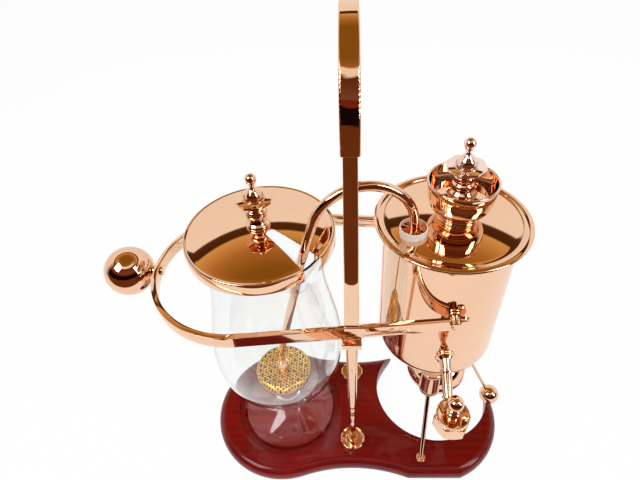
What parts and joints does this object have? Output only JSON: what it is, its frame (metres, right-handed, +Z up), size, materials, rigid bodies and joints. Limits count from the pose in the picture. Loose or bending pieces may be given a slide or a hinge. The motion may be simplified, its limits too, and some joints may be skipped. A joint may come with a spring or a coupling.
{
  "type": "balance_siphon",
  "caption": "Balance siphon coffee maker: a rose-gold boiler and counterweight hang on one beam over a red wooden base, with a bent tube to a glass vessel and a spirit burner",
  "frame": {"origin": "underside of the wooden base, midway between the two posts", "axes": "+X toward the boiler, +Z up, -Y toward the tap side"},
  "size_m": [0.3381, 0.1663, 0.403],
  "materials": {
    "rose_gold": "mirror-polished rose-gold plating on steel and brass",
    "lacquered_wood": "red-stained wood under gloss lacquer",
    "clear_glass": "clear heat-proof glass",
    "silicone": "white silicone rubber, satin",
    "gold_filter": "polished gold-plated perforated sheet",
    "cotton_wick": "woven cotton wick",
    "steel_nuts": "zinc-plated steel"
  },
  "bodies": {
    "stand": {"base": "lacquered_wood", "foot_front": "rose_gold", "foot_back": "rose_gold", "leg_front": "rose_gold", "leg_back": "rose_gold", "leg_nuts": "steel_nuts", "yoke_front": "rose_gold", "yoke_back": "rose_gold", "pivot_pins": "rose_gold", "upright_front": "rose_gold", "upright_back": "rose_gold", "arch_handle": "rose_gold", "glass_vessel": "clear_glass", "burner_bowl": "rose_gold", "burner_collar": "rose_gold", "burner_wick": "cotton_wick", "burner_sleeve": "rose_gold", "burner_bracket": "rose_gold", "burner_arm": "rose_gold", "arm_ferrule": "rose_gold", "snuffer_fork": "rose_gold", "snuffer_pin": "rose_gold"},
    "beam": {"beam": "rose_gold", "weight_stud": "rose_gold", "weight_ball": "rose_gold"},
    "glass_lid": {"glass_lid": "rose_gold", "lid_knob_stem": "rose_gold", "lid_knob_plate": "rose_gold", "lid_knob_ball": "rose_gold"},
    "boiler": {"boiler_shell": "rose_gold", "boiler_cover": "rose_gold", "trunnion_front": "rose_gold", "trunnion_back": "rose_gold", "filler_cup": "rose_gold", "tap_rosette": "rose_gold", "tap_pipe": "rose_gold", "tap_valve": "rose_gold", "tap_gland": "rose_gold"},
    "filler_plug": {"plug_seal": "silicone", "plug_knob_stem": "rose_gold", "plug_knob_plate": "rose_gold", "plug_knob_ball": "rose_gold"},
    "siphon": {"siphon_tube": "rose_gold", "siphon_stopper": "silicone", "stopper_cap": "rose_gold", "filter_hub": "rose_gold", "filter_dome": "gold_filter", "filter_plate": "rose_gold"},
    "tap_key": {"tap_key": "rose_gold", "tap_knob": "rose_gold"},
    "snuffer": {"snuffer_lever": "rose_gold", "snuffer_cap": "rose_gold", "snuffer_ball": "rose_gold"}
  },
  "joints": [
    {"name": "beam_tilt", "type": "hinge", "parent": "stand", "child": "beam", "pos_m": [0, 0, 0.215], "axis": [0, 1, 0], "range_deg": [0, 4]},
    {"name": "boiler_swing", "type": "hinge", "parent": "beam", "child": "boiler", "pos_m": [0.0688, 0, 0.217], "axis": [0, 1, 0], "range_deg": [-6, 2]},
    {"name": "siphon_lift", "type": "slide", "parent": "boiler", "child": "siphon", "axis": [0, 0, 1], "range_m": [0, 0.015]},
    {"name": "plug_lift", "type": "slide", "parent": "boiler", "child": "filler_plug", "axis": [0, 0, 1], "range_m": [0, 0.03]},
    {"name": "tap_turn", "type": "hinge", "parent": "boiler", "child": "tap_key", "pos_m": [0.0688, -0.087, 0.152], "axis": [0, 0, 1], "range_deg": [0, 90]},
    {"name": "lid_lift", "type": "slide", "parent": "stand", "child": "glass_lid", "axis": [0, 0, 1], "range_m": [0, 0.008]},
    {"name": "snuffer_tip", "type": "hinge", "parent": "stand", "child": "snuffer", "pos_m": [0.10602, 0.01273, 0.092], "axis": [-0.1779, -0.984, 0], "range_deg": [0, 70]}
  ],
  "couplings": [
    {"joint": "boiler_swing", "follows": "beam_tilt", "ratio": -1}
  ]
}
